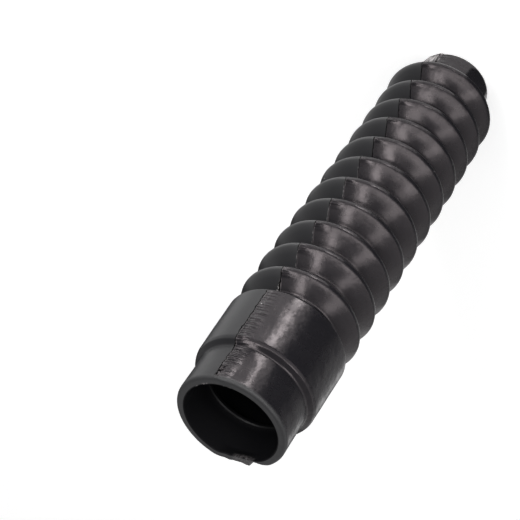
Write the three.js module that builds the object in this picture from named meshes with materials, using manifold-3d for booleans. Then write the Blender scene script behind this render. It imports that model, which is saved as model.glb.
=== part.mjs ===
// Fork gaiter: a rubber bellows sleeve that keeps dirt off the sliding leg of a motorbike fork.
// It is one moulding with a narrow cuff, eleven folds, a plain barrel and a wide cuff.
// Sizes are in millimetres. The axis is +Z and z = 0 is the narrow cuff's end face.

import * as THREE from 'three';
import { mergeVertices } from 'three/addons/utils/BufferGeometryUtils.js';
import Module from 'manifold-3d';

// Narrow cuff, which grips the slim tube of the fork leg
const narrowBore = 28;
const narrowWall = 2.8;
const narrowLength = 12;
const narrowRimRound = 0.9;

// Bellows: equal folds of even wall, opening slightly towards the wide end
const foldCount = 11;
const foldPitch = 14.3;
const crestDiameterAtNarrowEnd = 48.6;
const crestDiameterAtWideEnd = 49.2;
const rootDiameterAtNarrowEnd = 34.2;
const rootDiameterAtWideEnd = 37.2;
const bellowsWall = 1.8;
const crestRoundInside = 0.15;
const rootRoundOutside = 0.45;

// Barrel, the plain stretch between the last fold and the wide cuff
const barrelDiameterAtFolds = 49;
const barrelDiameterAtShoulder = 48.2;
const barrelLength = 24.7;
const barrelWall = 2.2;
const barrelEdgeRound = 0.7;

// Shoulder, the step down from the barrel to the wide cuff
const shoulderLength = 3.1;
const shoulderRound = 1.1;

// Wide cuff, which slips over the thick tube of the fork leg
const wideOuterDiameter = 43.2;
const wideBore = 36.6;
const wideLength = 16.8;
const wideRimRound = 1.3;

// Lip inside the wide cuff, where the thick tube stops
const lipHeight = 0.7;
const lipLength = 1.6;
const lipRound = 0.25;

// Parting line of the two mould halves, a low fin along both sides
const finHeight = 0.25;
const finWidth = 0.7;

// Torn edge of the wide rim at one parting line, where the flash was pulled off: a slanting facet
// with a flap, and a notch beside the flap's tip
const tearSpanBesideFlap = 7.4;
const tearSpanBesideNotch = 8.9;
const flapTipPast = 1;
const flapTearDepth = 1.6;
const notchPast = 2.7;
const notchDepth = 2.9;
const tearLength = 5;

// Facets
const columnsPerHalf = 18;
const crestSteps = 4;
const rootSteps = 1;
const cornerSteps = 2;

// Heights and radii that follow from the sizes above
const narrowRadius = narrowBore / 2 + narrowWall;
const bellowsStart = narrowLength;
const bellowsLength = foldCount * foldPitch;
const bellowsEnd = bellowsStart + bellowsLength;
const crestRoundOutside = crestRoundInside + bellowsWall;
const rootRoundInside = rootRoundOutside + bellowsWall;
const flankAngle = meanFlankAngle();
const wallAlongRadius = bellowsWall / Math.cos(flankAngle);
const lastFlankRise = (barrelDiameterAtFolds - rootDiameterAtWideEnd) / 2;
const barrelStart = bellowsEnd + lastFlankRise / Math.tan(flankAngle);
const barrelEnd = barrelStart + barrelLength;
const wideStart = barrelEnd + shoulderLength;
const overallLength = wideStart + wideLength;

// Slope of a fold's straight flank against the axis. The flank is the common tangent of the crest's
// round and the root's round, half a pitch apart.
function meanFlankAngle() {
  const crest = (crestDiameterAtNarrowEnd + crestDiameterAtWideEnd) / 4;
  const root = (rootDiameterAtNarrowEnd + rootDiameterAtWideEnd) / 4;
  const rise = (crest - crestRoundOutside) - (root + rootRoundOutside);
  const apart = Math.hypot(foldPitch / 2, rise);
  return Math.atan2(rise, foldPitch / 2) + Math.asin((crestRoundOutside + rootRoundOutside) / apart);
}

// How far a round pulls a sharp fold corner back along the radius
function pullBack(round) {
  return round * (1 / Math.cos(flankAngle) - 1);
}

function corner(radius, z, round = 0, steps = cornerSteps) {
  return { point: new THREE.Vector2(radius, z), round, steps };
}

// Radius at a height in the bellows, on a straight taper between its two ends
function tapered(diameterAtNarrowEnd, diameterAtWideEnd, z) {
  const share = (z - bellowsStart) / bellowsLength;
  return THREE.MathUtils.lerp(diameterAtNarrowEnd, diameterAtWideEnd, share) / 2;
}

// Sharp corners of the folds, on the outer face or, moved in by the wall, on the inner face
function foldCorners(inside) {
  const inward = inside ? wallAlongRadius : 0;
  const crestRound = inside ? crestRoundInside : crestRoundOutside;
  const rootRound = inside ? rootRoundInside : rootRoundOutside;
  const corners = [];
  for (let fold = 0; fold < foldCount; fold += 1) {
    const crestZ = bellowsStart + (fold + 0.5) * foldPitch;
    const crestRadius = tapered(crestDiameterAtNarrowEnd, crestDiameterAtWideEnd, crestZ);
    const crest = crestRadius + pullBack(crestRoundOutside);
    corners.push(corner(crest - inward, crestZ, crestRound, inside ? 0 : crestSteps));
    const rootZ = bellowsStart + (fold + 1) * foldPitch;
    const root = tapered(rootDiameterAtNarrowEnd, rootDiameterAtWideEnd, rootZ) - pullBack(rootRoundOutside);
    corners.push(corner(root - inward, rootZ, rootRound, inside ? crestSteps - 1 : rootSteps));
  }
  return corners;
}

function outerCorners() {
  return [
    corner(narrowRadius, 0, narrowRimRound),
    corner(narrowRadius, bellowsStart, rootRoundOutside, rootSteps),
    ...foldCorners(false),
    corner(barrelDiameterAtFolds / 2, barrelStart, barrelEdgeRound),
    corner(barrelDiameterAtShoulder / 2, barrelEnd, shoulderRound),
    corner(wideOuterDiameter / 2, wideStart, shoulderRound),
    corner(wideOuterDiameter / 2, overallLength, wideRimRound, crestSteps - 1),
  ];
}

function innerCorners() {
  const bore = wideBore / 2;
  const lip = bore - lipHeight;
  const lipEnd = wideStart - barrelWall * Math.tan(shoulderSlope() / 2);
  const lipStart = lipEnd + lipLength;
  const chamber = barrelDiameterAtShoulder / 2 - barrelWall;
  const chamberEnd = lipEnd - (chamber - lip) / Math.tan(shoulderSlope());
  const chamberRadius = barrelDiameterAtFolds / 2 - barrelWall;
  const lastRoot = rootDiameterAtWideEnd / 2 - pullBack(rootRoundOutside) - wallAlongRadius;
  const chamberStart = bellowsEnd + (chamberRadius - lastRoot) / Math.tan(flankAngle);
  const firstCrest = tapered(crestDiameterAtNarrowEnd, crestDiameterAtWideEnd, bellowsStart + foldPitch / 2);
  const firstFlankDrop = firstCrest + pullBack(crestRoundOutside) - wallAlongRadius - narrowBore / 2;
  const boreEnd = bellowsStart + foldPitch / 2 - firstFlankDrop / Math.tan(flankAngle);
  return [
    corner(bore, overallLength),
    corner(bore, lipStart + lipHeight),
    corner(lip, lipStart, lipRound, 1),
    corner(lip, lipEnd, lipRound, 1),
    corner(chamber, chamberEnd),
    corner(chamberRadius, chamberStart),
    ...foldCorners(true).reverse(),
    corner(narrowBore / 2, boreEnd, rootRoundInside, 2),
    corner(narrowBore / 2, 0),
  ];
}

// Slope of the shoulder against the axis
function shoulderSlope() {
  return Math.atan2((barrelDiameterAtShoulder - wideOuterDiameter) / 2, shoulderLength);
}

// Replaces each corner that has a round by an arc tangent to both of its sides
function withRounds(corners) {
  const points = [];
  corners.forEach((here, index) => {
    const before = corners[(index + corners.length - 1) % corners.length].point;
    const after = corners[(index + 1) % corners.length].point;
    if (!here.round || !here.steps) {
      points.push(here.point.clone());
      return;
    }
    points.push(...arcAt(before, here, after));
  });
  return points;
}

function arcAt(before, { point, round, steps }, after) {
  const back = before.clone().sub(point);
  const ahead = after.clone().sub(point);
  const half = Math.acos(back.dot(ahead) / back.length() / ahead.length()) / 2;
  const room = 0.48 * Math.min(back.length(), ahead.length());
  const setback = Math.min(round / Math.tan(half), room);
  const radius = setback * Math.tan(half);
  const start = back.clone().setLength(setback).add(point);
  const middle = back.clone().normalize().add(ahead.clone().normalize());
  const centre = middle.setLength(radius / Math.sin(half)).add(point);
  const turn = Math.PI - 2 * half;
  const sense = Math.sign(back.cross(ahead));
  return Array.from({ length: steps + 1 }, (_, step) =>
    start.clone().rotateAround(centre, -sense * turn * step / steps));
}

// Angle of a column of the sleeve. Columns crowd at the parting lines, where the fin needs a foot
// on each side of its ridge, and are evenly spaced between them.
function columnAngle(column) {
  const foot = finWidth / crestDiameterAtWideEnd;
  const half = Math.floor(column / columnsPerHalf);
  const place = column % columnsPerHalf;
  const even = (Math.PI - 2 * foot) / (columnsPerHalf - 2);
  const angle = place === 0 ? 0 : foot + (place - 1) * even;
  return half * Math.PI + angle;
}

// Turns the outline into the sleeve and raises the fin on its outer face
function sleeveGeometry() {
  const outside = withRounds([...outerCorners(), ...innerCorners()]);
  const outerCount = outside.findIndex((point) => point.y === overallLength && point.x === wideBore / 2);
  const outline = [...outside, outside[0].clone()];
  const columns = 2 * columnsPerHalf;
  const geometry = new THREE.LatheGeometry(outline, columns);
  const position = geometry.getAttribute('position');
  for (let column = 0; column <= columns; column += 1) {
    const ridge = column % columnsPerHalf === 0;
    outline.forEach((point, index) => {
      const onOuterFace = index % outside.length < outerCount;
      const radius = point.x + (ridge && onOuterFace ? finHeight : 0);
      const angle = columnAngle(column % columns);
      const vertex = column * outline.length + index;
      position.setXYZ(vertex, radius * Math.cos(angle), radius * Math.sin(angle), point.y);
    });
  }
  return geometry;
}

// Wedge of rubber that is missing from the rim. Its outline is drawn in the rim's plane, from the
// facet's one end over the flap and the notch to its other end, and it thins out down the cuff.
function tearGeometry() {
  const rim = wideOuterDiameter / 2;
  const outline = [
    atRim(-tearSpanBesideFlap, 0),
    atRim(-tearSpanBesideFlap / 2, flapTearDepth),
    atRim(flapTipPast, flapTearDepth),
    atRim(notchPast, notchDepth),
    atRim((notchPast + tearSpanBesideNotch) / 2, flapTearDepth),
    atRim(tearSpanBesideNotch, 0),
    new THREE.Vector2(-rim - notchDepth, -tearSpanBesideNotch),
    new THREE.Vector2(-rim - notchDepth, tearSpanBesideFlap),
  ];
  const wedge = new THREE.ExtrudeGeometry(new THREE.Shape(outline), {
    depth: 2 * tearLength,
    bevelEnabled: false,
  });
  const slant = notchDepth / tearLength;
  wedge.translate(0, 0, -tearLength);
  wedge.applyMatrix4(new THREE.Matrix4().makeShear(0, 0, 0, 0, slant, 0));
  return wedge.translate(0, 0, overallLength);
}

// Point in the rim's plane, a distance round the rim past the parting line and a depth below the rim
function atRim(past, depth) {
  const rim = wideOuterDiameter / 2;
  const angle = Math.PI + past / rim;
  return new THREE.Vector2(Math.cos(angle), Math.sin(angle)).multiplyScalar(rim - depth);
}

const wasm = await Module();
wasm.setup();

function solidOf(geometry) {
  const bare = geometry.clone();
  bare.deleteAttribute('normal');
  bare.deleteAttribute('uv');
  const merged = mergeVertices(bare, 1e-4);
  return new wasm.Manifold(new wasm.Mesh({
    numProp: 3,
    vertProperties: new Float32Array(merged.getAttribute('position').array),
    triVerts: new Uint32Array(merged.getIndex().array),
  }));
}

function geometryOf(solid) {
  const mesh = solid.getMesh();
  const geometry = new THREE.BufferGeometry();
  geometry.setAttribute('position', new THREE.BufferAttribute(new Float32Array(mesh.vertProperties), 3));
  geometry.setIndex(new THREE.BufferAttribute(new Uint32Array(mesh.triVerts), 1));
  geometry.computeVertexNormals();
  return geometry;
}

function makeGaiter() {
  const sleeve = solidOf(sleeveGeometry());
  const trimmed = sleeve.subtract(solidOf(tearGeometry()));
  const rubber = new THREE.MeshStandardMaterial({ color: '#2f2e30', roughness: 0.48, metalness: 0 });
  const gaiter = new THREE.Mesh(geometryOf(trimmed), rubber);
  gaiter.name = 'gaiter';
  return gaiter;
}

const forkGaiter = new THREE.Group();
forkGaiter.add(makeGaiter());

export default forkGaiter;
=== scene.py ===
import math
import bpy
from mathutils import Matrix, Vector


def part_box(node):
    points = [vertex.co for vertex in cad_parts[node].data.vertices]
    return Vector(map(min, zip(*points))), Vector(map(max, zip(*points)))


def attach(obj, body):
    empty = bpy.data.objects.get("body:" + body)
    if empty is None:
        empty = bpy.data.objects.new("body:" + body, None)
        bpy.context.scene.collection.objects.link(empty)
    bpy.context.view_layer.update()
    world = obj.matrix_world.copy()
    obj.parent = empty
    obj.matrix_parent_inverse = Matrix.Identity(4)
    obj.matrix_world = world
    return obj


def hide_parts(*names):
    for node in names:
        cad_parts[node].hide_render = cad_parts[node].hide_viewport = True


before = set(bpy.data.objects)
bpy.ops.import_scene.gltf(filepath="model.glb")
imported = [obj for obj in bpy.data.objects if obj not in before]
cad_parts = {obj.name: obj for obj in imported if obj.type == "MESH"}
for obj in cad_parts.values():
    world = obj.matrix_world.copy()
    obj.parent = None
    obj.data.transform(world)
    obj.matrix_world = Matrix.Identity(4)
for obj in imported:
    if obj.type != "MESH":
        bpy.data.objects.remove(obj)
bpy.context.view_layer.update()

from types import SimpleNamespace

import bpy
from bpy.props import FloatProperty, IntProperty, PointerProperty, StringProperty
from mathutils import Matrix, Vector, noise

bl_info = {
    "name": "Fork Gaiter",
    "version": (1, 0, 0),
    "blender": (4, 5, 0),
    "location": "3D View > Sidebar > Gaiter",
    "description": "Builds a moulded rubber fork gaiter and a pale studio to show it in",
    "category": "Add Mesh",
}

NODE = "gaiter"
BODY = "root"
NODE_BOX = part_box(NODE)
SLEEVE_LENGTH = NODE_BOX[1].z

# The rim torn beside the far parting line, in millimetres: place past the line, then how far the
# bore's edge and the rim lean in. The flap ends at 1.2 and the notch is deepest at 4.2
TORN_RIM = [
    (-13.0, 0.0, 0.0),
    (-9.0, 1.2, 0.9),
    (-7.0, 1.3, 0.85),
    (-5.4, 1.55, 1.5),
    (-2.0, 1.9, 1.4),
    (1.2, 1.7, 0.3),
    (1.5, 1.6, 0.8),
    (4.2, 0.5, 3.5),
    (4.5, 0.4, 3.4),
    (4.9, 0.35, 2.9),
    (7.9, 0.1, 0.85),
    (10.3, 0.0, 0.0),
]


def mm(value):
    """Millimetres as metres."""
    return value / 1000


def from_hex(colour):
    """An sRGB hex colour as linear red, green, blue and alpha."""
    channels = [int(colour[place:place + 2], 16) / 255 for place in (1, 3, 5)]
    return [c / 12.92 if c <= 0.04045 else ((c + 0.055) / 1.055) ** 2.4 for c in channels] + [1.0]


def length(name, description, millimetres):
    """A size in the sidebar, given in millimetres and kept in metres."""
    return FloatProperty(
        name=name, description=description, default=mm(millimetres), unit="LENGTH", precision=5)


def factor(name, description, default, most=1.0):
    """A number in the sidebar, from 0 up to the most that it can be."""
    return FloatProperty(
        name=name, description=description, default=default, min=0, max=most, subtype="FACTOR")


def colour(name, description, code):
    """A colour in the sidebar, as sRGB hex."""
    return StringProperty(name=name, description=description + ", as sRGB hex", default=code)


class SleeveSizes(bpy.types.PropertyGroup):
    """Sizes of the moulding, from the narrow cuff up to the wide one."""

    narrow_bore: length("Narrow bore", "Bore of the narrow cuff", 28)
    narrow_wall: length("Narrow wall", "Wall of the narrow cuff", 2.8)
    narrow_length: length("Narrow length", "Length of the narrow cuff", 12)
    narrow_rim_round: length("Narrow rim round", "Round on the narrow cuff's outer edge", 0.9)
    fold_count: IntProperty(name="Folds", description="Number of folds", default=11, min=1)
    fold_pitch: length("Fold pitch", "Distance from crest to crest", 14.3)
    crest_low: length("Crest at narrow end", "Diameter over the crests at the narrow end", 48.6)
    crest_high: length("Crest at wide end", "Diameter over the crests at the wide end", 49.2)
    root_low: length("Root at narrow end", "Diameter at the roots at the narrow end", 34.2)
    root_high: length("Root at wide end", "Diameter at the roots at the wide end", 37.2)
    bellows_wall: length("Fold wall", "Even wall of the folds", 1.8)
    crest_round: length("Crest round", "Round over a crest", 1.95)
    crest_turn: FloatProperty(
        name="Crest turn", description="How far a crest's round turns on either side before its flank",
        default=math.radians(36), subtype="ANGLE")
    inner_crest_round: length("Inner crest round", "Round inside a crest", 0.15)
    root_round: length("Root round", "Round in the bottom of a root", 0.45)
    last_root_round: length("Last root round", "Round in the bottom of the root beside the barrel", 1.0)
    barrel_low: length("Barrel at folds", "Diameter of the barrel beside the folds", 49)
    barrel_high: length("Barrel at shoulder", "Diameter of the barrel at the shoulder", 48.2)
    barrel_length: length("Barrel length", "Length of the plain barrel", 25.0)
    shoulder_slope: length("Shoulder slope", "Length of the slight slope that leads to the step", 1.3)
    shoulder_drop: length("Shoulder drop", "How far that slope comes in", 0.45)
    slope_round: length("Slope round", "Round where the barrel meets that slope", 3)
    barrel_wall: length("Barrel wall", "Wall of the barrel", 2.2)
    barrel_edge_round: length("Barrel edge round", "Round on the barrel's edge beside the folds", 0.7)
    shoulder_length: length("Shoulder length", "Length of the step down to the wide cuff", 1.28)
    shoulder_round: length("Shoulder round", "Round where the barrel steps down", 1.0)
    step_round: length("Step round", "Hollow round where the step meets the wide cuff", 1.2)
    wide_diameter: length("Wide cuff", "Outer diameter of the wide cuff", 43.2)
    wide_bore: length("Wide bore", "Bore of the wide cuff", 36.6)
    wide_length: length("Wide length", "Length of the wide cuff", 17.02)
    wide_rim_round: length("Wide rim round", "Round on the wide rim's outer edge", 1.3)
    bore_edge_round: length("Bore edge round", "Round on the bores' edges", 0.25)
    lip_height: length("Lip height", "Height of the lip inside the wide cuff", 0.7)
    lip_length: length("Lip length", "Length of the lip's crown", 1.1)
    lip_round: length("Lip round", "Rounds on the lip", 0.25)
    row_step: length("Row step", "Longest step between rows of the mesh", 2.2)
    torn_rows: length("Torn rows", "Length below the wide rim that has finer rows", 8)
    torn_row_step: length("Torn row step", "Step between rows beside the torn rim", 0.36)
    columns: IntProperty(
        name="Columns", description="Columns of the mesh round the sleeve", default=160, min=12)
    crowding: factor("Crowding", "How closely the columns crowd at the parting lines", 0.9, most=0.95)


class MouldMarks(bpy.types.PropertyGroup):
    """Marks that the mould and the trimming left on the rubber."""

    fin_height: length("Fin height", "Height of the fin along the parting lines", 0.16)
    fin_width: length("Fin width", "Half width of that fin", 0.17)
    web_height: length("Web height", "Extra height of the fin in the roots, where no knife reaches", 0.55)
    line_drift: length("Line drift", "How far the parting line strays to either side", 0.55)
    unevenness: length("Unevenness", "How far the skin sinks below the true form", 0.22)
    lean_forward: length("Lean forward", "How far the narrow end stands off towards the parting line", 0.95)
    lean_left: length("Lean sideways", "How far the narrow end stands off to the blasted half", 0.35)
    lean_length: length("Lean length", "Length of the sleeve that the lean takes", 40)
    line_bend: length("Line bend", "How far the line bends to the blasted half at the narrow end", 1.9)
    bend_length: length("Bend length", "Length of the sleeve that this bend takes", 80)
    spur_width: length("Spur width", "Half width of the spur of flash", 0.3)
    spur_height: length("Spur height", "Height of the spur of flash in the last root", 1.3)
    tear_length: length("Tear length", "How far the tear runs down the cuff", 5)
    crumb_height: length("Crumb height", "Height of the crumbs of flash at the wide rim", 0.45)
    swell_height: length("Swell height", "Height of the swelling on the step to the wide cuff", 0.75)
    swell_place: length("Swell place", "How far beside the parting line the swelling lies", 5.6)
    swell_width: length("Swell width", "Half width of that swelling", 3.2)
    hollow_depth: length("Hollow depth", "Depth of the shallow hollow down the wide cuff", 0.25)
    hollow_place: length("Hollow place", "How far beside the parting line the hollow lies", 7.2)
    hollow_width: length("Hollow width", "Half width of that hollow", 3.2)
    scar_height: length("Scar height", "Height of the torn flash on the narrow cuff", 0.45)
    scar_length: length("Scar length", "How far that flash runs up the cuff", 8)


class Finish(bpy.types.PropertyGroup):
    """Colours and gloss."""

    rubber: colour("Rubber", "Colour of the rubber", "#131317")
    inside: colour("Inside", "Colour of the skin inside", "#111113")
    # Also the painted highlight of the pale edge beside the parting line
    torn_and_highlight_grey: colour("Torn rubber", "Colour of a torn edge", "#6f6b6c")
    # Painted shade: the near-black of the cut along the parting line and of the pits
    painted_cut_shade: colour("Cut rubber", "Colour in the ragged cut and in the pits", "#040404")
    dust: colour("Dust", "Colour of dust and of the deepest tears", "#d6d2d2")
    sheen: colour("Sheen", "Tint of the polished half's sheen", "#fff2f4")
    matte_sheen: colour("Matte sheen", "Tint of the sheen on the blasted half and the rim", "#fcfbfa")
    floor: colour("Floor", "Colour of the studio paper", "#ebebeb")
    blasted: factor("Blasted half", "Roughness of the half from the blasted mould", 0.37)
    polished: factor("Polished half", "Roughness of the half from the polished mould", 0.26)
    satin: factor("Satin", "Roughness of the inside and of the wide rim", 0.58)
    rubbed: factor("Rubbed lip", "Roughness of the lip inside the wide cuff", 0.42)
    torn: factor("Torn edge", "Roughness of a torn edge", 0.75)
    smears: factor("Smears", "How much the smears change the roughness", 0.24)
    mottling: factor("Mottling", "How much the mottling changes the roughness", 0.06)


# Kinds of node and settings that come up often
MATH = "ShaderNodeMath"
WHOLE_MATH = "FunctionNodeIntegerMath"
RANGE = "ShaderNodeMapRange"
NOISE = "ShaderNodeTexNoise"
MIX = "ShaderNodeMix"
SMOOTH = {"interpolation_type": "SMOOTHSTEP"}
VALUES = {"data_type": "FLOAT"}
COLOURS = {"data_type": "RGBA"}

# Numbers of the Mix node's sockets
VALUE_A, VALUE_B, COLOUR_A, COLOUR_B, MIXED_COLOUR = 2, 3, 6, 7, 2


def add(tree, kind, settings=None, *inputs):
    """Adds a node with its settings, or only its operation, and fills its inputs.

    The inputs are values or links, in the order of the node's sockets or in one table by socket.
    """
    node = tree.nodes.new(kind)
    settings = {"operation": settings} if isinstance(settings, str) else settings or {}
    for name, value in settings.items():
        setattr(node, name, value)
    table = inputs[0] if inputs and isinstance(inputs[0], dict) else dict(enumerate(inputs))
    for socket, source in table.items():
        if isinstance(source, bpy.types.Node):
            source = source.outputs[0]
        if isinstance(source, bpy.types.NodeSocket):
            tree.links.new(source, node.inputs[socket])
        else:
            node.inputs[socket].default_value = source
    return node


def cleared(owner):
    """The node tree of a material or a world, with no nodes in it yet."""
    owner.use_nodes = True
    owner.node_tree.nodes.clear()
    return owner.node_tree


def placed(name, data):
    """A new object for a mesh, a lamp or a camera, linked to the scene."""
    holder = bpy.data.objects.new(name, data)
    bpy.context.scene.collection.objects.link(holder)
    return holder


# The outline of the sleeve, as a closed line of radius and height

CREST_STEPS = 4  # on either side of a crest
FLANK_STEPS = 6
LARGEST_SETBACK = 0.76  # the most that a round takes of the shorter side of its corner


class Corner:
    """A sharp corner of the outline, its round, and the steps that the round is drawn in."""

    def __init__(self, radius, height, round_by=0.0, steps=6):
        self.point = Vector((radius, height))
        self.round_by = round_by
        self.steps = steps


class Outline:
    """Outer and inner corners of the sleeve, worked out from its sizes."""

    def __init__(self, sizes):
        self.s = sizes
        self.narrow_radius = sizes.narrow_bore / 2 + sizes.narrow_wall
        self.folds_start = sizes.narrow_length
        self.folds_length = sizes.fold_count * sizes.fold_pitch
        self.folds_end = self.folds_start + self.folds_length
        self.inner_root_round = sizes.root_round + sizes.bellows_wall
        self.slope = self.flank_slope()
        self.wall_along_radius = sizes.bellows_wall / math.cos(self.slope)
        last_rise = (sizes.barrel_low - sizes.root_high) / 2
        self.barrel_start = self.folds_end + last_rise / math.tan(self.slope)
        self.barrel_end = self.barrel_start + sizes.barrel_length
        self.slope_end = self.barrel_end + sizes.shoulder_slope
        self.wide_start = self.slope_end + sizes.shoulder_length
        self.top = self.wide_start + sizes.wide_length

    def flank_slope(self):
        """Slope of a flank, the common tangent of a crest's round and a root's round."""
        s = self.s
        crest = (s.crest_low + s.crest_high) / 4
        root = (s.root_low + s.root_high) / 4
        rise = (crest - s.crest_round) - (root + s.root_round)
        apart = math.hypot(s.fold_pitch / 2, rise)
        return math.atan2(rise, s.fold_pitch / 2) + math.asin((s.crest_round + s.root_round) / apart)

    def pull_back(self, round_by):
        """How far a round's top stays back from its sharp corner."""
        return round_by * (1 / math.cos(self.slope) - 1)

    def tapered(self, low, high, height):
        """Radius at a height of the folds, from the diameters at their two ends."""
        share = (height - self.folds_start) / self.folds_length
        return (low + (high - low) * share) / 2

    def inner_folds(self):
        """Corners inside the folds, an even wall away from the flanks."""
        s = self.s
        corners = []
        for fold in range(s.fold_count):
            height = self.folds_start + (fold + 0.5) * s.fold_pitch
            crest = self.tapered(s.crest_low, s.crest_high, height) + self.pull_back(s.crest_round)
            corners.append(Corner(crest - self.wall_along_radius, height, s.inner_crest_round, steps=1))
            height = self.folds_start + (fold + 1) * s.fold_pitch
            root = self.tapered(s.root_low, s.root_high, height) - self.pull_back(s.root_round)
            corners.append(Corner(root - self.wall_along_radius, height, self.inner_root_round, steps=4))
        return corners

    def outer_folds(self):
        """Round crests and full flanks as fine corners, and a narrow round in each root."""
        s = self.s
        corners = [Corner(self.narrow_radius, self.folds_start, s.root_round, steps=4)]
        for fold in range(s.fold_count):
            height = self.folds_start + (fold + 0.5) * s.fold_pitch
            crest = self.tapered(s.crest_low, s.crest_high, height)
            below = corners[-1].point.x
            above_height = height + s.fold_pitch / 2
            above = self.tapered(s.root_low, s.root_high, above_height) - self.pull_back(s.root_round)
            corners += [Corner(radius, height - rise) for radius, rise in reversed(self.flank(crest, below))]
            for step in range(1 - CREST_STEPS, CREST_STEPS):
                tilt = s.crest_turn * step / CREST_STEPS
                radius = crest - s.crest_round * (1 - math.cos(tilt))
                corners.append(Corner(radius, height + s.crest_round * math.sin(tilt)))
            corners += [Corner(radius, height + rise) for radius, rise in self.flank(crest, above)]
            corners.append(Corner(above, above_height, s.root_round, steps=4))
        corners[-1].round_by = s.last_root_round
        return corners

    def flank(self, crest, root):
        """Radius and rise along a full flank, from its crest's round up to its root, left out."""
        s = self.s
        start = s.crest_turn
        along = s.fold_pitch / 2 - s.crest_round * math.sin(start)
        across = crest - root - s.crest_round * (1 - math.cos(start))
        end = 2 * math.atan2(across, along) - start
        fullness = math.hypot(along, across) / (2 * math.sin((end - start) / 2))
        points = []
        for step in range(FLANK_STEPS):
            tilt = start + (end - start) * step / FLANK_STEPS
            sunk = s.crest_round * (1 - math.cos(start)) + fullness * (math.cos(start) - math.cos(tilt))
            rise = s.crest_round * math.sin(start) + fullness * (math.sin(tilt) - math.sin(start))
            points.append((crest - sunk, rise))
        return points

    def outer(self):
        """Corners of the outer skin, from the narrow rim up to the wide one."""
        s = self.s
        return [
            Corner(self.narrow_radius, 0, s.narrow_rim_round, steps=5),
            *self.outer_folds(),
            Corner(s.barrel_low / 2, self.barrel_start, s.barrel_edge_round, steps=5),
            Corner(s.barrel_high / 2, self.barrel_end, s.slope_round, steps=4),
            Corner(s.barrel_high / 2 - s.shoulder_drop, self.slope_end, s.shoulder_round, steps=7),
            Corner(s.wide_diameter / 2, self.wide_start, s.step_round, steps=9),
            Corner(s.wide_diameter / 2, self.top, s.wide_rim_round, steps=7),
        ]

    def inner(self):
        """Corners of the inside, from the wide rim back down to the narrow one."""
        s = self.s
        bore = s.wide_bore / 2
        lip = bore - s.lip_height
        shoulder = math.atan2((s.barrel_high - s.wide_diameter) / 2, s.shoulder_length)
        lip_end = self.wide_start - s.barrel_wall * math.tan(shoulder / 2)
        lip_start = lip_end + s.lip_length
        chamber = s.barrel_high / 2 - s.barrel_wall
        chamber_end = lip_end - (chamber - lip) / math.tan(shoulder)
        chamber_low = s.barrel_low / 2 - s.barrel_wall
        last_root = s.root_high / 2 - self.pull_back(s.root_round) - self.wall_along_radius
        chamber_start = self.folds_end + (chamber_low - last_root) / math.tan(self.slope)
        first_crest = self.tapered(s.crest_low, s.crest_high, self.folds_start + s.fold_pitch / 2)
        drop = first_crest + self.pull_back(s.crest_round) - self.wall_along_radius - s.narrow_bore / 2
        bore_end = self.folds_start + s.fold_pitch / 2 - drop / math.tan(self.slope)
        return [
            Corner(bore, self.top, s.bore_edge_round, steps=3),
            Corner(bore, lip_start + s.lip_height),
            Corner(lip, lip_start, s.lip_round, steps=3),
            Corner(lip, lip_end, s.lip_round, steps=3),
            Corner(chamber, chamber_end),
            Corner(chamber_low, chamber_start),
            *reversed(self.inner_folds()),
            Corner(s.narrow_bore / 2, bore_end, self.inner_root_round, steps=3),
            Corner(s.narrow_bore / 2, 0, s.bore_edge_round, steps=3),
        ]

    def points(self):
        """Points along the outline with a mark that is 1 on the outer skin and 0 inside."""
        outer = self.outer()
        corners = outer + self.inner()
        arcs = [arc_at(corners[i - 1], corner, corners[(i + 1) % len(corners)])
                for i, corner in enumerate(corners)]
        line = []
        for i, arc in enumerate(arcs):
            following = arcs[(i + 1) % len(arcs)][0]
            mark = 1.0 if i < len(outer) else 0.0
            line.extend((point, mark) for point in arc[:-1])
            line.extend((point, mark) for point in self.rows(arc[-1], following))
        return line + line[:1]

    def rows(self, start, end):
        """Points from a straight run's start up to its end, which is left out."""
        torn_from = self.top - self.s.torn_rows
        on_rim = min(start.y, end.y) > self.top - 2 * self.s.wide_rim_round
        cuts = [start, end]
        if max(start.y, end.y) > torn_from and not on_rim:
            cuts.insert(1, start.lerp(end, (torn_from - start.y) / (end.y - start.y)))
        points = []
        for low, high in zip(cuts, cuts[1:]):
            near_tear = min(low.y, high.y) > torn_from - mm(0.1)
            step = self.s.torn_row_step if near_tear else self.s.row_step
            count = max(1, math.ceil((high - low).length / step))
            points.extend(low.lerp(high, place / count) for place in range(count))
        return points


def arc_at(before, corner, after):
    """Points of the round at a corner, tangent to both of its sides."""
    if not corner.round_by:
        return [corner.point]
    back = before.point - corner.point
    ahead = after.point - corner.point
    half = back.angle(ahead) / 2
    room = LARGEST_SETBACK * min(back.length, ahead.length)
    setback = min(corner.round_by / math.tan(half), room)
    radius = setback * math.tan(half)
    start = corner.point + back.normalized() * setback
    middle = (back.normalized() + ahead.normalized()).normalized()
    centre = corner.point + middle * (radius / math.sin(half))
    turn = math.copysign(math.pi - 2 * half, -back.cross(ahead))
    return [centre + Matrix.Rotation(turn * step / corner.steps, 2) @ (start - centre)
            for step in range(corner.steps + 1)]


# Grain of the parting line's drift, of the fin's ragged edge and of the skin's unevenness
DRIFT_GRAIN = mm(16.6667)
RAGGED_GRAIN = mm(2.38095)
SINK_GRAIN = mm(10.5263)
SIDES_APART = 7.0  # in the noise, so that the two parting lines don't stray alike


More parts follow.
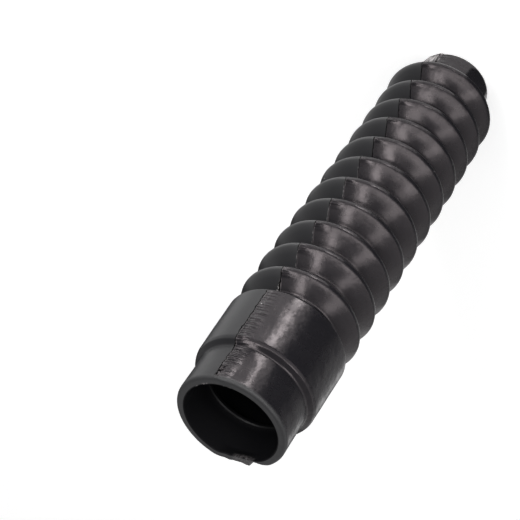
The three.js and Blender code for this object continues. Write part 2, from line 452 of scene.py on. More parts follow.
def sleeve_tree():
    """Geometry nodes that turn the outline round the axis and raise the parting fins."""
    tree = bpy.data.node_groups.new("Moulded sleeve", "GeometryNodeTree")
    tree.interface.new_socket("Geometry", in_out="OUTPUT", socket_type="NodeSocketGeometry")
    kinds = {"Outline": "Geometry", "Columns": "Int", "Rubber": "Material"}
    for name in ("Outline", "Columns", "Crowding", "Fin Height", "Fin Width", "Web Height", "Root Radius",
                 "Crest Radius", "Unevenness", "Line Drift", "Line Bend", "Bend Length", "Rubber"):
        tree.interface.new_socket(name, in_out="INPUT", socket_type="NodeSocket" + kinds.get(name, "Float"))
    given = tree.nodes.new("NodeGroupInput").outputs

    # A grid of one column of points for each step round the axis, and one row for each outline point
    rows = add(tree, "GeometryNodeAttributeDomainSize", {}, given["Outline"]).outputs["Point Count"]
    edges = add(tree, WHOLE_MATH, "ADD", given["Columns"], 1)
    grid = add(tree, "GeometryNodeMeshGrid", {}, {"Vertices X": edges, "Vertices Y": rows})
    index = add(tree, "GeometryNodeInputIndex")
    row = add(tree, WHOLE_MATH, "MODULO", index, rows)
    column = add(tree, WHOLE_MATH, "DIVIDE_FLOOR", index, rows)
    sample = add(tree, "GeometryNodeSampleIndex", {"data_type": "FLOAT_VECTOR", "domain": "POINT"}, {
        "Geometry": given["Outline"], "Value": add(tree, "GeometryNodeInputPosition"), "Index": row})
    outline = add(tree, "ShaderNodeSeparateXYZ", {}, sample).outputs
    radius, skin, height = outline["X"], outline["Y"], outline["Z"]

    # Columns crowd at the parting lines: the angle gains or loses half of the crowded sine
    turn = add(tree, MATH, "MULTIPLY", add(tree, MATH, "DIVIDE", column, given["Columns"]), math.tau)
    swing = add(tree, MATH, "SINE", add(tree, MATH, "MULTIPLY", turn, 2.0))
    crowding = add(tree, MATH, "MULTIPLY", given["Crowding"], 0.5)
    angle = add(tree, MATH, "SUBTRACT", turn, add(tree, MATH, "MULTIPLY", swing, crowding))
    cosine = add(tree, MATH, "COSINE", angle)
    sine = add(tree, MATH, "SINE", angle)

    # The parting line strays a little, and bends off at the narrow end
    side = add(tree, MATH, "MULTIPLY", add(tree, MATH, "SIGN", cosine), SIDES_APART)
    along = add(tree, "ShaderNodeCombineXYZ", {}, side, 0.0, height)
    drift = add(tree, NOISE, {}, {
        "Vector": along, "Scale": 1 / DRIFT_GRAIN, "Detail": 4.0, "Roughness": 0.55})
    drift = add(tree, MATH, "MULTIPLY_ADD", drift, 2.0, -1.0)
    drift = add(tree, MATH, "MULTIPLY", drift, given["Line Drift"])
    bend = add(tree, RANGE, SMOOTH, height, 0.0, given["Bend Length"], given["Line Bend"], 0.0)
    across = add(tree, MATH, "MULTIPLY", radius, sine)
    from_line = add(tree, MATH, "SUBTRACT", across, add(tree, MATH, "ADD", drift, bend))

    # The fin is a narrow bell across the parting line, and higher and ragged in the roots
    bell_share = add(tree, MATH, "POWER", add(tree, MATH, "DIVIDE", from_line, given["Fin Width"]), 2.0)
    bell_share = add(tree, MATH, "EXPONENT", add(tree, MATH, "MULTIPLY", bell_share, -1.0))
    depth = add(tree, RANGE, SMOOTH, radius, given["Root Radius"], given["Crest Radius"], 1.0, 0.0)
    web = add(tree, MATH, "MULTIPLY", add(tree, MATH, "POWER", depth, 3.0), given["Web Height"])
    ragged = add(tree, NOISE, {}, {
        "Vector": along, "Scale": 1 / RAGGED_GRAIN, "Detail": 3.0, "Roughness": 0.6})
    ragged = add(tree, MATH, "MULTIPLY_ADD", ragged, 2.4, -0.55)
    fin = add(tree, MATH, "MULTIPLY", add(tree, MATH, "ADD", given["Fin Height"], web), ragged)
    fin = add(tree, MATH, "MULTIPLY", fin, bell_share)

    # The skin sinks a little here and there, as thin rubber does after it leaves the mould
    forward = add(tree, MATH, "MULTIPLY", radius, cosine)
    around = add(tree, "ShaderNodeCombineXYZ", {}, forward, across, height)
    sink = add(tree, NOISE, {}, {"Vector": around, "Scale": 1 / SINK_GRAIN, "Detail": 2.0, "Roughness": 0.45})
    sink = add(tree, MATH, "MULTIPLY", sink, given["Unevenness"])
    relief = add(tree, MATH, "MULTIPLY", add(tree, MATH, "SUBTRACT", fin, sink), skin)
    grown = add(tree, MATH, "ADD", radius, relief)

    turned = add(tree, "ShaderNodeCombineXYZ", {}, add(tree, MATH, "MULTIPLY", grown, cosine),
                 add(tree, MATH, "MULTIPLY", grown, sine), height)
    mesh = add(tree, "GeometryNodeSetPosition", {}, {"Geometry": grid.outputs["Mesh"], "Position": turned})
    for name, value in (("skin", skin), ("from_line", from_line)):
        mesh = add(tree, "GeometryNodeStoreNamedAttribute", {"data_type": "FLOAT", "domain": "POINT"}, {
            "Geometry": mesh, "Name": name, "Value": value})
    mesh = add(tree, "GeometryNodeMergeByDistance", {}, {"Geometry": mesh, "Distance": mm(0.001)})
    mesh = add(tree, "GeometryNodeSetShadeSmooth", {}, {"Geometry": mesh, "Shade Smooth": True})
    mesh = add(tree, "GeometryNodeRealizeInstances", {}, {"Geometry": mesh})
    mesh = add(tree, "GeometryNodeSetMaterial", {}, {"Geometry": mesh, "Material": given["Rubber"]})
    add(tree, "NodeGroupOutput", {}, {"Geometry": mesh})
    return tree


def turned_mesh(name, points, tree, values):
    """Runs the tree on the outline's points and gives the result as a plain mesh."""
    line = bpy.data.meshes.new(name + " outline")
    line.from_pydata([(point.x, mark, point.y) for point, mark in points], [], [])
    holder = placed(name + " outline", line)
    modifier = holder.modifiers.new("Moulded sleeve", "NODES")
    modifier.node_group = tree
    for item in tree.interface.items_tree:
        if item.in_out == "INPUT" and item.name in values:
            modifier[item.identifier] = values[item.name]
    graph = bpy.context.evaluated_depsgraph_get()
    mesh = bpy.data.meshes.new_from_object(holder.evaluated_get(graph), depsgraph=graph)
    holder.modifiers.remove(modifier)
    bpy.data.objects.remove(holder)
    bpy.data.meshes.remove(line)
    return mesh


def ease(value, low, high):
    """0 at low, 1 at high and smooth between them."""
    share = min(1.0, max(0.0, (value - low) / (high - low)))
    return share * share * (3 - 2 * share)


def between(value, start, full, fade, end):
    """0 up to the start and past the end, 1 from full to fade, and smooth on the way."""
    return ease(value, start, full) * (1 - ease(value, fade, end))


def bell(value, middle, width):
    """1 in the middle, and less the further off, by a bell of a given half width."""
    return math.exp(-((value - middle) / width) ** 2)


def rough(x, y, z, grain):
    """Noise between about -1 and 1 with a grain in metres."""
    return noise.noise(Vector((x, y, z)) / grain)


def pushed_out(point, distance):
    """The point moved straight away from the sleeve's axis."""
    return point + Vector((point.x, point.y, 0)).normalized() * distance


class Damage:
    """Moves the skin's points where the flash was torn off or the rubber sank or swelled."""

    def __init__(self, sizes, marks, outline):
        self.m = marks
        self.top = outline.top
        self.bore = sizes.wide_bore / 2
        self.rim = sizes.wide_diameter / 2
        self.crest = sizes.crest_low / 2
        self.folds_start = outline.folds_start
        self.last_root = outline.folds_end
        self.slope_end = outline.slope_end
        self.wide_start = outline.wide_start
        self.clear_of_step = outline.wide_start + mm(3)

    def leans(self, past):
        """How far the bore's edge and the rim have moved in at a place along the torn rim."""
        for (low, *low_leans), (high, *high_leans) in zip(TORN_RIM, TORN_RIM[1:]):
            if mm(low) <= past <= mm(high):
                share = (past - mm(low)) / mm(high - low)
                return [mm(first + (second - first) * share) for first, second in zip(low_leans, high_leans)]
        return [0.0, 0.0]

    def trimmed(self, point):
        """1 where the knife cut the flash off: on the crests, the barrel and the cuffs."""
        if self.folds_start < point.z < self.last_root:
            return ease(math.hypot(point.x, point.y), self.crest - mm(1.6), self.crest - mm(0.5))
        return 1.0

    def place(self, point, skin, from_line):
        """New place of a point, and how torn it is."""
        if point.x < 0 and point.z > self.top - self.m.tear_length:
            return self.torn_rim(point)
        if point.x <= 0 or skin <= 0.5:
            return point, 0.0
        if point.z > self.clear_of_step:
            return self.crumbs(self.hollow(point))
        if point.z > self.slope_end:
            return self.swell(point), 0.0
        if point.z < self.m.scar_length:
            return self.scar(point)
        return self.spur(point, from_line)

    def swell(self, point):
        """The step is less steep where the rubber swelled, right beside the parting line."""
        along = between(point.z, self.slope_end, self.wide_start, self.wide_start, self.clear_of_step)
        around = bell(point.y, -self.m.swell_place, self.m.swell_width)
        around *= 1 - ease(point.y, -mm(1.6), mm(0.2))
        return pushed_out(point, self.m.swell_height * along * around)

    def hollow(self, point):
        """A shallow hollow that the cuff sank into beside the parting line."""
        start = self.clear_of_step
        along = between(point.z, start, start + mm(3), self.top - mm(4), self.top - mm(0.8))
        around = bell(point.y, -self.m.hollow_place, self.m.hollow_width)
        return pushed_out(point, -self.m.hollow_depth * along * around)

    def spur(self, point, from_line):
        """A spur of flash that stands up in the last root beside the barrel."""
        up = between(point.z - self.last_root, -mm(3.2), -mm(1.6), mm(0.4), mm(2))
        if up <= 0 or abs(from_line) >= 2 * self.m.spur_width:
            return point, 0.0
        ragged = 0.9 + 0.6 * rough(point.z, 0, 0, mm(0.8))
        high = up * bell(from_line, mm(0.1), self.m.spur_width) * ragged
        return pushed_out(point, self.m.spur_height * high), 2 * min(1.0, high)

    def torn_rim(self, point):
        """The flap that leans into the bore, and beside it the notch through the wall."""
        radius = math.hypot(point.x, point.y)
        past = -math.asin(point.y / radius) * self.rim
        below = self.top - point.z
        bore_lean, rim_lean = self.leans(past)
        share = min(1.0, max(0.0, (radius - self.bore) / (self.rim - self.bore)))
        lean = bore_lean * (1 - share) + rim_lean * share
        lean *= 1 + 0.12 * rough(past, 0.0, below, mm(0.9))
        lean *= 1 - ease(below, 0.0, self.m.tear_length)
        face = between(past, -mm(6.0), -mm(4.6), mm(4.6), mm(5.2)) * (1 - ease(below, mm(0.9), mm(2.2)))
        torn = face * min(1.0, max(0.0, 0.26 + 0.55 * rough(past, below, radius, mm(0.7))))
        return pushed_out(point, -lean), torn

    def crumbs(self, point):
        """Crumbs of torn flash beside the parting line near the wide rim, with pits between them."""
        near = between(point.y, -mm(3.6), -mm(1.2), mm(0.05), mm(0.5))
        near *= between(self.top - point.z, mm(0.4), mm(1.6), mm(4.5), mm(9))
        if near <= 0:
            return point, 0.0
        lump = rough(point.x, point.y, point.z, mm(0.75)) + 0.6 * rough(point.y, point.z, point.x, mm(0.35))
        return pushed_out(point, self.m.crumb_height * near * max(-0.7, lump)), near * max(0.0, lump)

    def scar(self, point):
        """Torn flash beside the parting line of the narrow cuff, whitish where it tore deepest."""
        strip = between(point.y, mm(0.3), mm(1.0), mm(9), mm(12))
        strip *= 1 - ease(point.z, self.m.scar_length - mm(3), self.m.scar_length)
        if strip <= 0:
            return point, 0.0
        lump = rough(point.x, point.y, point.z, mm(1.3)) + 0.8 * rough(point.z, point.x, point.y, mm(0.6))
        height = self.m.scar_height * strip * max(-0.3, lump + 0.75)
        return pushed_out(point, height), 2 * strip * ease(lump + 0.75, 0.1, 0.9)

    def nicks(self, point):
        """Nicks on the wide bore's edge near the parting line, where the mould's core rubbed it."""
        if point.z < self.top - mm(0.6) or point.x < 0 or not -mm(7) < point.y < mm(9):
            return 0.0
        beside = 1 - ease(abs(math.hypot(point.x, point.y) - self.bore), mm(0.3), mm(0.7))
        return 1.5 * beside * ease(rough(point.x, point.y, point.z, mm(1.1)), 0.1, 0.35)


def wear(mesh, damage):
    """Shapes the damage and notes on each point how torn it is and whether a knife went over it."""
    skins = [item.value for item in mesh.attributes["skin"].data]
    lines = [item.value for item in mesh.attributes["from_line"].data]
    torn = mesh.attributes.new("torn", "FLOAT", "POINT")
    trimmed = mesh.attributes.new("trimmed", "FLOAT", "POINT")
    for vertex, skin, line in zip(mesh.vertices, skins, lines):
        trimmed.data[vertex.index].value = damage.trimmed(vertex.co)
        vertex.co, amount = damage.place(vertex.co.copy(), skin, line)
        lean = 1 - ease(vertex.co.z, 0.0, damage.m.lean_length)
        vertex.co += Vector((damage.m.lean_forward, damage.m.lean_left, 0)) * lean
        vertex.co = [min(max(at, low), high) for at, low, high in zip(vertex.co, *NODE_BOX)]
        torn.data[vertex.index].value = max(amount, damage.nicks(vertex.co))
    mesh.update()


# Sizes of the rubber's patterns. They are real ones, but for the mould's grain, which is drawn at
# 0.5 mm so that it shows
SMEARS = mm(5)
MOTTLING = mm(1.2)
FLOW_MARKS = mm(1.2048)
FLOW_LENGTH = mm(11.1111)
GRAIN = mm(0.5)
CUT_GRAIN = mm(1.4)
PIT_GRAIN = mm(1.1)
SPECKS_APART = mm(9)
SPECK_SIZE = 0.024  # as a share of the distance between specks

# Heights on the sleeve at which the finish changes, or between which it does
FOLDS_END = SLEEVE_LENGTH - mm(50)
LIP_MIDDLE = SLEEVE_LENGTH - mm(17.8)
LIP_REACH = mm(1.0)
RIM_FACE = (SLEEVE_LENGTH - mm(2.2), SLEEVE_LENGTH - mm(0.9))
CRUMBLY_CUFF = (SLEEVE_LENGTH - mm(11), SLEEVE_LENGTH - mm(6))
DEEP_MARKS = (SLEEVE_LENGTH - mm(36), SLEEVE_LENGTH - mm(28))
BANKED_FOLDS = (mm(45), mm(100))
UPPER_FOLDS = (mm(88), mm(100))
LAST_FOLD = (mm(157), mm(160))


def rubber_places(tree):
    """Where on the sleeve a point lies, which the rubber's gloss, relief and colours share."""
    at = SimpleNamespace(point=add(tree, "ShaderNodeTexCoord").outputs["Object"])
    axes = add(tree, "ShaderNodeSeparateXYZ", {}, at.point).outputs
    at.height = axes["Z"]
    at.front = add(tree, MATH, "GREATER_THAN", axes["X"], 0.0)
    for name in ("torn", "skin", "from_line", "trimmed"):
        setattr(at, name, add(tree, "ShaderNodeAttribute", {"attribute_name": name}).outputs["Fac"])
    at.inside = add(tree, MATH, "SUBTRACT", 1.0, at.skin)
    at.tear = add(tree, MATH, "MINIMUM", at.torn, 1.0)

    # Which half of the mould: blasted is 1 on that half and inside, and polished is 1 on the other
    half = add(tree, RANGE, {}, at.from_line, -mm(0.05), mm(0.05))
    at.blasted = add(tree, MATH, "MAXIMUM", half, at.inside)
    at.polished = add(tree, MATH, "SUBTRACT", 1.0, at.blasted)

    # The face of the wide rim, and the lip inside the wide cuff, which rubbed smooth and shows two
    # thin lights
    at.rim = add(tree, RANGE, SMOOTH, at.height, *RIM_FACE)
    at.off_rim = add(tree, MATH, "SUBTRACT", 1.0, at.rim)
    from_lip = add(tree, MATH, "ABSOLUTE", add(tree, MATH, "SUBTRACT", at.height, LIP_MIDDLE))
    at.lip = add(tree, MATH, "MULTIPLY", add(tree, MATH, "LESS_THAN", from_lip, LIP_REACH), at.inside)
    at.smear = add(tree, NOISE, {}, {"Vector": at.point, "Scale": 1 / SMEARS, "Detail": 2.0})
    return at


def rubber_line(tree, at):
    """Adds the cut with its painted shade, and the pale edge with its painted highlight, along the parting
    line to the places.
    """
    # The flash was cut off along the line. Along it a ragged line about 0.5 mm wide is painted near-black as
    # shade
    grain = add(tree, NOISE, {}, {"Vector": at.point, "Scale": 1 / CUT_GRAIN, "Detail": 3.0})
    ragged = add(tree, MATH, "MULTIPLY_ADD", at.trimmed, mm(1.1), mm(0.7))
    ragged = add(tree, MATH, "MULTIPLY", add(tree, MATH, "SUBTRACT", grain, 0.5), ragged)
    middle = add(tree, MATH, "MULTIPLY_ADD", at.trimmed, mm(0.24), -mm(0.12))
    apart = add(tree, MATH, "ADD", add(tree, MATH, "SUBTRACT", at.from_line, middle), ragged)
    cut = add(tree, RANGE, SMOOTH, add(tree, MATH, "ABSOLUTE", apart), mm(0.1), mm(0.3), 1.0, 0.0)

    # On the flanks of the upper folds the knife left a thin ridge. The light it catches is painted: the pale
    # edge is stronger there and the painted shade of the cut weaker
    upper = add(tree, RANGE, SMOOTH, at.height, *UPPER_FOLDS)
    last = add(tree, RANGE, SMOOTH, at.height, *LAST_FOLD, 1.0, 0.0)
    ridge_highlight = add(tree, MATH, "MULTIPLY", upper, last)
    ridge_highlight = add(tree, MATH, "MULTIPLY", ridge_highlight, add(tree, MATH, "SUBTRACT", 1.0, at.trimmed))
    skin_off_rim = add(tree, MATH, "MULTIPLY", at.skin, at.off_rim)
    cut = add(tree, MATH, "MULTIPLY", cut, add(tree, MATH, "MULTIPLY_ADD", ridge_highlight, -0.7, 1.0))
    cut = add(tree, MATH, "MULTIPLY", cut, skin_off_rim)

    # Beside the cut a pale edge shows here and there: the torn rubber's own paler colour, and a painted
    # highlight along the line, strongest on the ridge
    beside = add(tree, MATH, "MULTIPLY_ADD", at.trimmed, mm(0.44), -mm(0.22))
    apart = add(tree, MATH, "ABSOLUTE", add(tree, MATH, "ADD", at.from_line, beside))
    edge = add(tree, RANGE, SMOOTH, apart, mm(0.06), mm(0.24), 1.0, 0.0)
    edge = add(tree, MATH, "MULTIPLY", edge, add(tree, RANGE, {}, grain, 0.42, 0.62))
    edge = add(tree, MATH, "MULTIPLY", edge, skin_off_rim)
    edge = add(tree, MATH, "MULTIPLY", edge, add(tree, MATH, "MAXIMUM", at.trimmed, ridge_highlight))
    edge = add(tree, MATH, "MULTIPLY", edge, add(tree, MATH, "MULTIPLY_ADD", ridge_highlight, 0.7, 0.8))
    at.pale = add(tree, MATH, "MAXIMUM", edge, at.tear)

    # Beside the line near the wide rim the flash tore out in crumbs, with pits 0.7 mm wide between them,
    # which are painted black as shade
    pits = add(tree, NOISE, {}, {"Vector": at.point, "Scale": 1 / PIT_GRAIN, "Detail": 2.0})
    pits = add(tree, RANGE, SMOOTH, pits, 0.5, 0.56)
    across = add(tree, RANGE, SMOOTH, at.from_line, -mm(3.0), -mm(0.8))
    along = add(tree, RANGE, SMOOTH, at.height, *CRUMBLY_CUFF)
    crumbly = add(tree, MATH, "MULTIPLY", across, along)
    for share in (at.polished, at.front, at.off_rim):
        crumbly = add(tree, MATH, "MULTIPLY", crumbly, share)
    at.cut = add(tree, MATH, "MAXIMUM", cut, add(tree, MATH, "MULTIPLY", pits, crumbly))


def rubber_gloss(tree, at, finish):
    """Roughness, broken up by smears on the polished half and by mottling on both."""
    mottle = add(tree, NOISE, {}, {"Vector": at.point, "Scale": 1 / MOTTLING, "Detail": 4.0})
    polished_base = finish.polished - (finish.smears + finish.mottling) / 2
    polished = add(tree, MATH, "MULTIPLY_ADD", at.smear, finish.smears, polished_base)
    polished = add(tree, MATH, "MULTIPLY_ADD", mottle, finish.mottling, polished)
    blasted = add(tree, MATH, "MULTIPLY_ADD", mottle, finish.mottling, finish.blasted - finish.mottling / 2)
    gloss = polished
    for share, roughness in ((at.blasted, blasted), (at.inside, finish.satin), (at.rim, finish.satin),
                             (at.lip, finish.rubbed), (at.tear, finish.torn), (at.cut, 1.0)):
        gloss = add(tree, MIX, VALUES, {"Factor": share, VALUE_A: gloss, VALUE_B: roughness})
    return gloss


def rubber_relief(tree, at):
    """Bump from the flow marks, the mould's grain, the smears and the banks beside the line."""
    # Flow marks run square to the parting line on the polished side, about 1.2 mm apart
    scale = (1 / FLOW_LENGTH, 1 / FLOW_LENGTH, 1 / FLOW_MARKS)
    stretched = add(tree, "ShaderNodeMapping", {}, {"Vector": at.point, "Scale": scale})
    flow = add(tree, NOISE, {}, {"Vector": stretched, "Scale": 1.0, "Detail": 1.5, "Roughness": 0.5})
    deep = add(tree, RANGE, SMOOTH, at.height, *DEEP_MARKS, mm(1.1), mm(1.7))
    flow = add(tree, MATH, "MULTIPLY", flow, deep)
    for share in (add(tree, RANGE, SMOOTH, at.from_line, -mm(7.0), -mm(1.5)), at.trimmed, at.polished):
        flow = add(tree, MATH, "MULTIPLY", flow, share)

    # On the folds of the narrow end the skin rises a little towards the line, so the light spreads up to it
    bank = add(tree, RANGE, SMOOTH, at.from_line, -mm(8.0), -mm(0.4), 0.0, mm(0.38))
    low = add(tree, RANGE, SMOOTH, at.height, *BANKED_FOLDS, 1.0, 0.0)
    bank = add(tree, MATH, "MULTIPLY", add(tree, MATH, "MULTIPLY", bank, low), at.polished)

    depth = add(tree, MATH, "MULTIPLY_ADD", at.trimmed, mm(0.16), mm(0.12))
    smear = add(tree, MATH, "MULTIPLY", add(tree, MATH, "MULTIPLY", at.smear, at.polished), depth)
    grain = add(tree, NOISE, {}, {"Vector": at.point, "Scale": 1 / GRAIN, "Detail": 2.0})
    relief = add(tree, MATH, "MULTIPLY", grain, mm(0.004))
    for height in (flow, smear, bank):
        relief = add(tree, MATH, "ADD", relief, height)
    return add(tree, "ShaderNodeBump", {}, {"Strength": 1.0, "Distance": 1.0, "Height": relief})


def rubber_colour(tree, at, finish):
    """Black, pale where it tore, with a painted highlight on the pale edge by the line and a few specks of
    dust, and darkest in the painted shade of the cut and the pits.
    """
    bloom = add(tree, MATH, {"operation": "SUBTRACT", "use_clamp": True}, at.torn, 1.0)
    specks = add(tree, "ShaderNodeTexVoronoi", {}, {"Vector": at.point, "Scale": 1 / SPECKS_APART}).outputs
    dust = add(tree, MATH, "MULTIPLY", at.skin, 0.85)
    dust = add(tree, MATH, "MULTIPLY", dust, add(tree, MATH, "LESS_THAN", specks["Distance"], SPECK_SIZE))
    dust = add(tree, MATH, "MULTIPLY", dust, add(tree, MATH, "GREATER_THAN", specks["Color"], 0.5))
    dust = add(tree, MATH, "MAXIMUM", bloom, dust)
    base = from_hex(finish.rubber)
    # The pale edge carries a painted highlight, and the cut and the pits carry painted shade
    for share, code in ((at.inside, finish.inside), (at.pale, finish.torn_and_highlight_grey), (dust, finish.dust),
                        (at.cut, finish.painted_cut_shade)):
        mixed = add(tree, MIX, COLOURS, {"Factor": share, COLOUR_A: base, COLOUR_B: from_hex(code)})
        base = mixed.outputs[MIXED_COLOUR]
    return base


def rubber_shine(tree, at):
    """How strongly the rubber reflects, from the dull inside and the cut and pits, whose painted shade
    reflects little, to the rubbed rim and lip.
    """
    # Handling polished the blasted half on the crests of the folds, which draws a light line round them
    crests = add(tree, MATH, "LESS_THAN", at.height, FOLDS_END)
    for share in (at.trimmed, at.blasted, at.skin):
        crests = add(tree, MATH, "MULTIPLY", crests, share)
    outer_rim = add(tree, MATH, "MULTIPLY", at.rim, at.skin)

    # Each place adds its own to a low reflection
    shine = 0.08
    for share, more in ((at.skin, 0.42), (at.cut, -0.45), (outer_rim, 0.36), (at.lip, 0.16), (crests, 0.24)):
        shine = add(tree, MATH, "MULTIPLY_ADD", share, more, shine)
    return shine


def rubber_material(finish):
    """Moulded EPDM rubber, black and slightly waxy.

    It came out of a split mould with one blasted and one polished half, so one side is evenly grey
    and the other shows broken, smeary highlights.
    """
    material = bpy.data.materials.new("EPDM rubber, moulded")
    tree = cleared(material)
    at = rubber_places(tree)
    rubber_line(tree, at)
    sheen = add(tree, MIX, COLOURS, {
        "Factor": add(tree, MATH, "MAXIMUM", at.blasted, at.rim),
        COLOUR_A: from_hex(finish.sheen), COLOUR_B: from_hex(finish.matte_sheen)}).outputs[MIXED_COLOUR]
    shader = add(tree, "ShaderNodeBsdfPrincipled", {}, {
        "Base Color": rubber_colour(tree, at, finish), "Roughness": rubber_gloss(tree, at, finish),
        "Normal": rubber_relief(tree, at), "IOR": 1.5,
        "Specular IOR Level": rubber_shine(tree, at), "Specular Tint": sheen})
    add(tree, "ShaderNodeOutputMaterial", {}, {"Surface": shader})
    return material


WHITE = "#ffffff"
FLOOR_LIFT = 0.5  # makes up what the lamps leave, so that the pale floor reaches white


def paper_material(finish):
    """Matte studio paper. It looks white to the camera and in reflections and keeps its shadows."""
    material = bpy.data.materials.new("Studio paper, matte")
    tree = cleared(material)
    seen = add(tree, "ShaderNodeLightPath").outputs
    ray = add(tree, MATH, "MAXIMUM", seen["Is Camera Ray"], seen["Is Glossy Ray"])
    ray = add(tree, MATH, "MAXIMUM", ray, seen["Is Transmission Ray"])
    paper = add(tree, "ShaderNodeBsdfDiffuse", {}, {"Color": from_hex(finish.floor)})
    lift = add(tree, "ShaderNodeEmission", {}, {
        "Color": from_hex(WHITE), "Strength": add(tree, MATH, "MULTIPLY", ray, FLOOR_LIFT)})
    both = add(tree, "ShaderNodeAddShader", {}, paper, lift)
    add(tree, "ShaderNodeOutputMaterial", {}, {"Surface": both})
    return material


# Studio: lamps given by the direction that they shine from, as azimuth and elevation in degrees

CAMERA_PLACE = Vector((0.32764, -0.26290, 0.51718))
CAMERA_AIM = Vector((-0.01702, 0.04897, 0.11))
CAMERA_ROLL = math.radians(-144.179)
CAMERA_LENS = 101.88
FLOOR_SIZE = 6.0
CARD_LIFT = mm(1)  # off the floor, as is the next
STRIP_LIFT = mm(2)
LAMP_AIM = Vector((0, 0, SLEEVE_LENGTH / 2))

SOFTBOXES = [
    # name, azimuth, elevation, distance, width, height, brightness
    ("Key softbox", -4, 43, 0.75, 0.13, 0.38, 8.1),
    ("Side softbox", -77, 44, 0.75, 0.18, 0.34, 3.0),
    ("Long softbox", -45, 30, 0.80, 1.30, 0.16, 3.4),
    ("Back softbox", 138, 44, 0.90, 0.40, 0.40, 0.6),
]

# Strips on the floor: azimuth, start and end of the strip from the axis, width, brightness
FLOOR_STRIPS = [
    ("Low strip", -22, 0.19, 0.44, 0.040, 12.5),
    ("Low side strip", 21, 0.19, 0.44, 0.035, 6.0),
]

# Dark cards on the floor that only reflections see: azimuths of the two sides, near and far edge,
# how far the card stands up at its far edge, and its grey
FLOOR_CARDS = [
    ("Dark card right", -106, -46, 0.018, 0.60, 0.12, "#696969"),
    ("Middle card right", -126, -106, 0.018, 0.60, 0.12, "#999999"),
    ("Dark card front", -50, -8, 0.48, 0.60, 0.12, "#696969"),
    ("Grey card right", -172, -126, 0.018, 0.60, 0.10, "#cbcbcb"),
    ("Dark card left", 95, 172, 0.06, 0.60, 0.25, "#3f3f3f"),
]

# The room's light low down and high up, and the share of it behind the part and to the left
ROOM_LOW, ROOM_HIGH, ROOM_BEHIND, ROOM_LEFT = 1.1, 0.33, 0.72, 0.62


def aimed(place, aim):
    """Rotation that turns a lamp's or camera's -Z axis from its place to its aim."""
    return (aim - place).to_track_quat("-Z", "Y")


def lamp(name, width, height, brightness):
    """An area lamp of an even brightness, where 1 looks white, kept out of the camera's sight."""
    light = bpy.data.lights.new(name, "AREA")
    light.shape = "RECTANGLE"
    light.size = width
    light.size_y = height
    light.energy = brightness * math.pi * width * height
    holder = placed(name, light)
    holder.visible_camera = False
    holder.rotation_mode = "QUATERNION"
    return holder


def add_lamps():
    """Hangs the softboxes round the part and lays the strips on the floor."""
    for name, azimuth, elevation, distance, width, height, brightness in SOFTBOXES:
        a, e = math.radians(azimuth), math.radians(elevation)
        direction = Vector((math.cos(a) * math.cos(e), math.sin(a) * math.cos(e), math.sin(e)))
        box = lamp(name, width, height, brightness)
        box.location = LAMP_AIM + direction * distance
        box.rotation_quaternion = aimed(box.location, LAMP_AIM)
    for name, azimuth, start, end, width, brightness in FLOOR_STRIPS:
        a = math.radians(azimuth)
        strip = lamp(name, end - start, width, brightness)
        middle = (start + end) / 2
        strip.location = (middle * math.cos(a), middle * math.sin(a), STRIP_LIFT)
        strip.rotation_quaternion = (
            Matrix.Rotation(a, 4, "Z") @ Matrix.Rotation(math.pi, 4, "X")).to_quaternion()


def add_cards():
    """Lays the dark cards, which neither the camera nor the floor's light sees."""
    for name, start, end, near, far, upright, grey in FLOOR_CARDS:
        material = bpy.data.materials.new(name + ", matte paper")
        tree = cleared(material)
        paper = add(tree, "ShaderNodeBsdfDiffuse", {}, {"Color": from_hex(grey)})
        add(tree, "ShaderNodeOutputMaterial", {}, {"Surface": paper})
        corners = [(near, start, 0), (far, start, 0), (far, end, 0), (near, end, 0),
                   (far, start, upright), (far, end, upright)]
        points = [Matrix.Rotation(math.radians(azimuth), 3, "Z") @ Vector((reach, 0, rise + CARD_LIFT))
                  for reach, azimuth, rise in corners]
        mesh = bpy.data.meshes.new(name)
        mesh.from_pydata(points, [], [(0, 1, 2, 3), (1, 4, 5, 2)])
        mesh.materials.append(material)
        card = placed(name, mesh)
        card.visible_camera = False
        card.visible_diffuse = False
        card.visible_shadow = False


def add_camera():
    """Sets up the camera with its place, aim, roll and lens."""
    camera = bpy.data.cameras.new("Camera")
    camera.lens = CAMERA_LENS
    camera.sensor_width = 36
    camera.clip_start = 0.01
    camera.clip_end = 20
    holder = placed("Camera", camera)
    holder.location = CAMERA_PLACE
    level = aimed(CAMERA_PLACE, CAMERA_AIM).to_matrix().to_4x4()
    holder.rotation_euler = (level @ Matrix.Rotation(CAMERA_ROLL, 4, "Z")).to_euler()
    bpy.context.scene.camera = holder


def add_world():
    """A white room to the camera, whose light fades upwards, behind the part and to the left."""
    world = bpy.data.worlds.new("Studio room")
    tree = cleared(world)
    seen = add(tree, "ShaderNodeLightPath").outputs["Is Camera Ray"]
    way = add(tree, "ShaderNodeTexCoord").outputs["Generated"]
    axes = add(tree, "ShaderNodeSeparateXYZ", {}, way).outputs
    light = add(tree, RANGE, {}, axes["Z"], 0.2, 0.85, ROOM_LOW, ROOM_HIGH)
    behind = add(tree, RANGE, SMOOTH, axes["X"], -0.8, 0.2, ROOM_BEHIND, 1.0)
    left = add(tree, RANGE, SMOOTH, axes["Y"], 0.1, 0.8, 1.0, ROOM_LEFT)
    for share in (behind, left):
        light = add(tree, MATH, "MULTIPLY", light, share)
    strength = add(tree, MIX, VALUES, {"Factor": seen, VALUE_A: light, VALUE_B: 1.0})
    room = add(tree, "ShaderNodeBackground", {}, {"Color": from_hex(WHITE), "Strength": strength})
    add(tree, "ShaderNodeOutputWorld", {}, {"Surface": room})
    bpy.context.scene.world = world


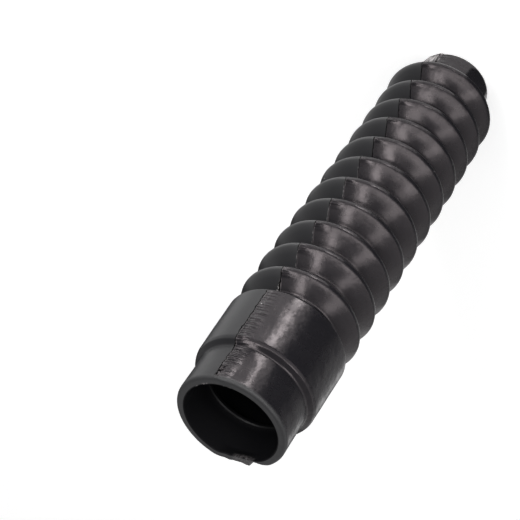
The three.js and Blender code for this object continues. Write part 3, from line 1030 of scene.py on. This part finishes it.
class GAITER_OT_sleeve(bpy.types.Operator):
    """Build the moulded rubber sleeve with its folds, cuffs, parting lines and torn flash"""

    bl_idname = "gaiter.sleeve"
    bl_label = "Moulded Sleeve"
    bl_options = {"REGISTER", "UNDO"}

    def execute(self, context):
        sizes = context.scene.gaiter_sizes
        marks = context.scene.gaiter_marks
        outline = Outline(sizes)
        if abs(outline.top - SLEEVE_LENGTH) > mm(0.5):
            raise RuntimeError("the sleeve's sizes don't add up to its length")
        rubber = rubber_material(context.scene.gaiter_finish)
        mesh = turned_mesh("gaiter_moulding", outline.points(), sleeve_tree(), {
            "Columns": sizes.columns,
            "Crowding": sizes.crowding,
            "Fin Height": marks.fin_height,
            "Fin Width": marks.fin_width,
            "Web Height": marks.web_height,
            "Root Radius": sizes.root_low / 2,
            "Crest Radius": sizes.crest_low / 2,
            "Unevenness": marks.unevenness,
            "Line Drift": marks.line_drift,
            "Line Bend": marks.line_bend,
            "Bend Length": marks.bend_length,
            "Rubber": rubber,
        })
        wear(mesh, Damage(sizes, marks, outline))
        moulding = placed("gaiter_moulding", mesh)
        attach(moulding, BODY)
        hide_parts(NODE)
        return {"FINISHED"}


class GAITER_OT_studio(bpy.types.Operator):
    """Lay the pale floor and set the lamps, the room and the camera"""

    bl_idname = "gaiter.studio"
    bl_label = "Studio"
    bl_options = {"REGISTER", "UNDO"}

    def execute(self, context):
        half = FLOOR_SIZE / 2
        mesh = bpy.data.meshes.new("Studio floor")
        corners = [(-half, -half, 0), (half, -half, 0), (half, half, 0), (-half, half, 0)]
        mesh.from_pydata(corners, [], [(0, 1, 2, 3)])
        mesh.materials.append(paper_material(context.scene.gaiter_finish))
        floor = placed("Studio floor", mesh)
        add_world()
        add_lamps()
        add_cards()
        add_camera()
        context.scene.view_settings.view_transform = "Standard"
        return {"FINISHED"}


class GAITER_PT_sidebar(bpy.types.Panel):
    """Sidebar panel with the gaiter's sizes and its two operators"""

    bl_label = "Fork Gaiter"
    bl_idname = "GAITER_PT_sidebar"
    bl_space_type = "VIEW_3D"
    bl_region_type = "UI"
    bl_category = "Gaiter"

    def draw(self, context):
        for group in (context.scene.gaiter_sizes, context.scene.gaiter_marks, context.scene.gaiter_finish):
            box = self.layout.box()
            for name in group.__annotations__:
                box.prop(group, name)
        self.layout.operator(GAITER_OT_sleeve.bl_idname)
        self.layout.operator(GAITER_OT_studio.bl_idname)


CLASSES = (SleeveSizes, MouldMarks, Finish, GAITER_OT_sleeve, GAITER_OT_studio, GAITER_PT_sidebar)


def register():
    for each in CLASSES:
        bpy.utils.register_class(each)
    bpy.types.Scene.gaiter_sizes = PointerProperty(type=SleeveSizes)
    bpy.types.Scene.gaiter_marks = PointerProperty(type=MouldMarks)
    bpy.types.Scene.gaiter_finish = PointerProperty(type=Finish)


def unregister():
    del bpy.types.Scene.gaiter_finish
    del bpy.types.Scene.gaiter_marks
    del bpy.types.Scene.gaiter_sizes
    for each in reversed(CLASSES):
        bpy.utils.unregister_class(each)


def main():
    register()
    bpy.ops.gaiter.sleeve()
    bpy.ops.gaiter.studio()


if __name__ == "__main__":
    main()
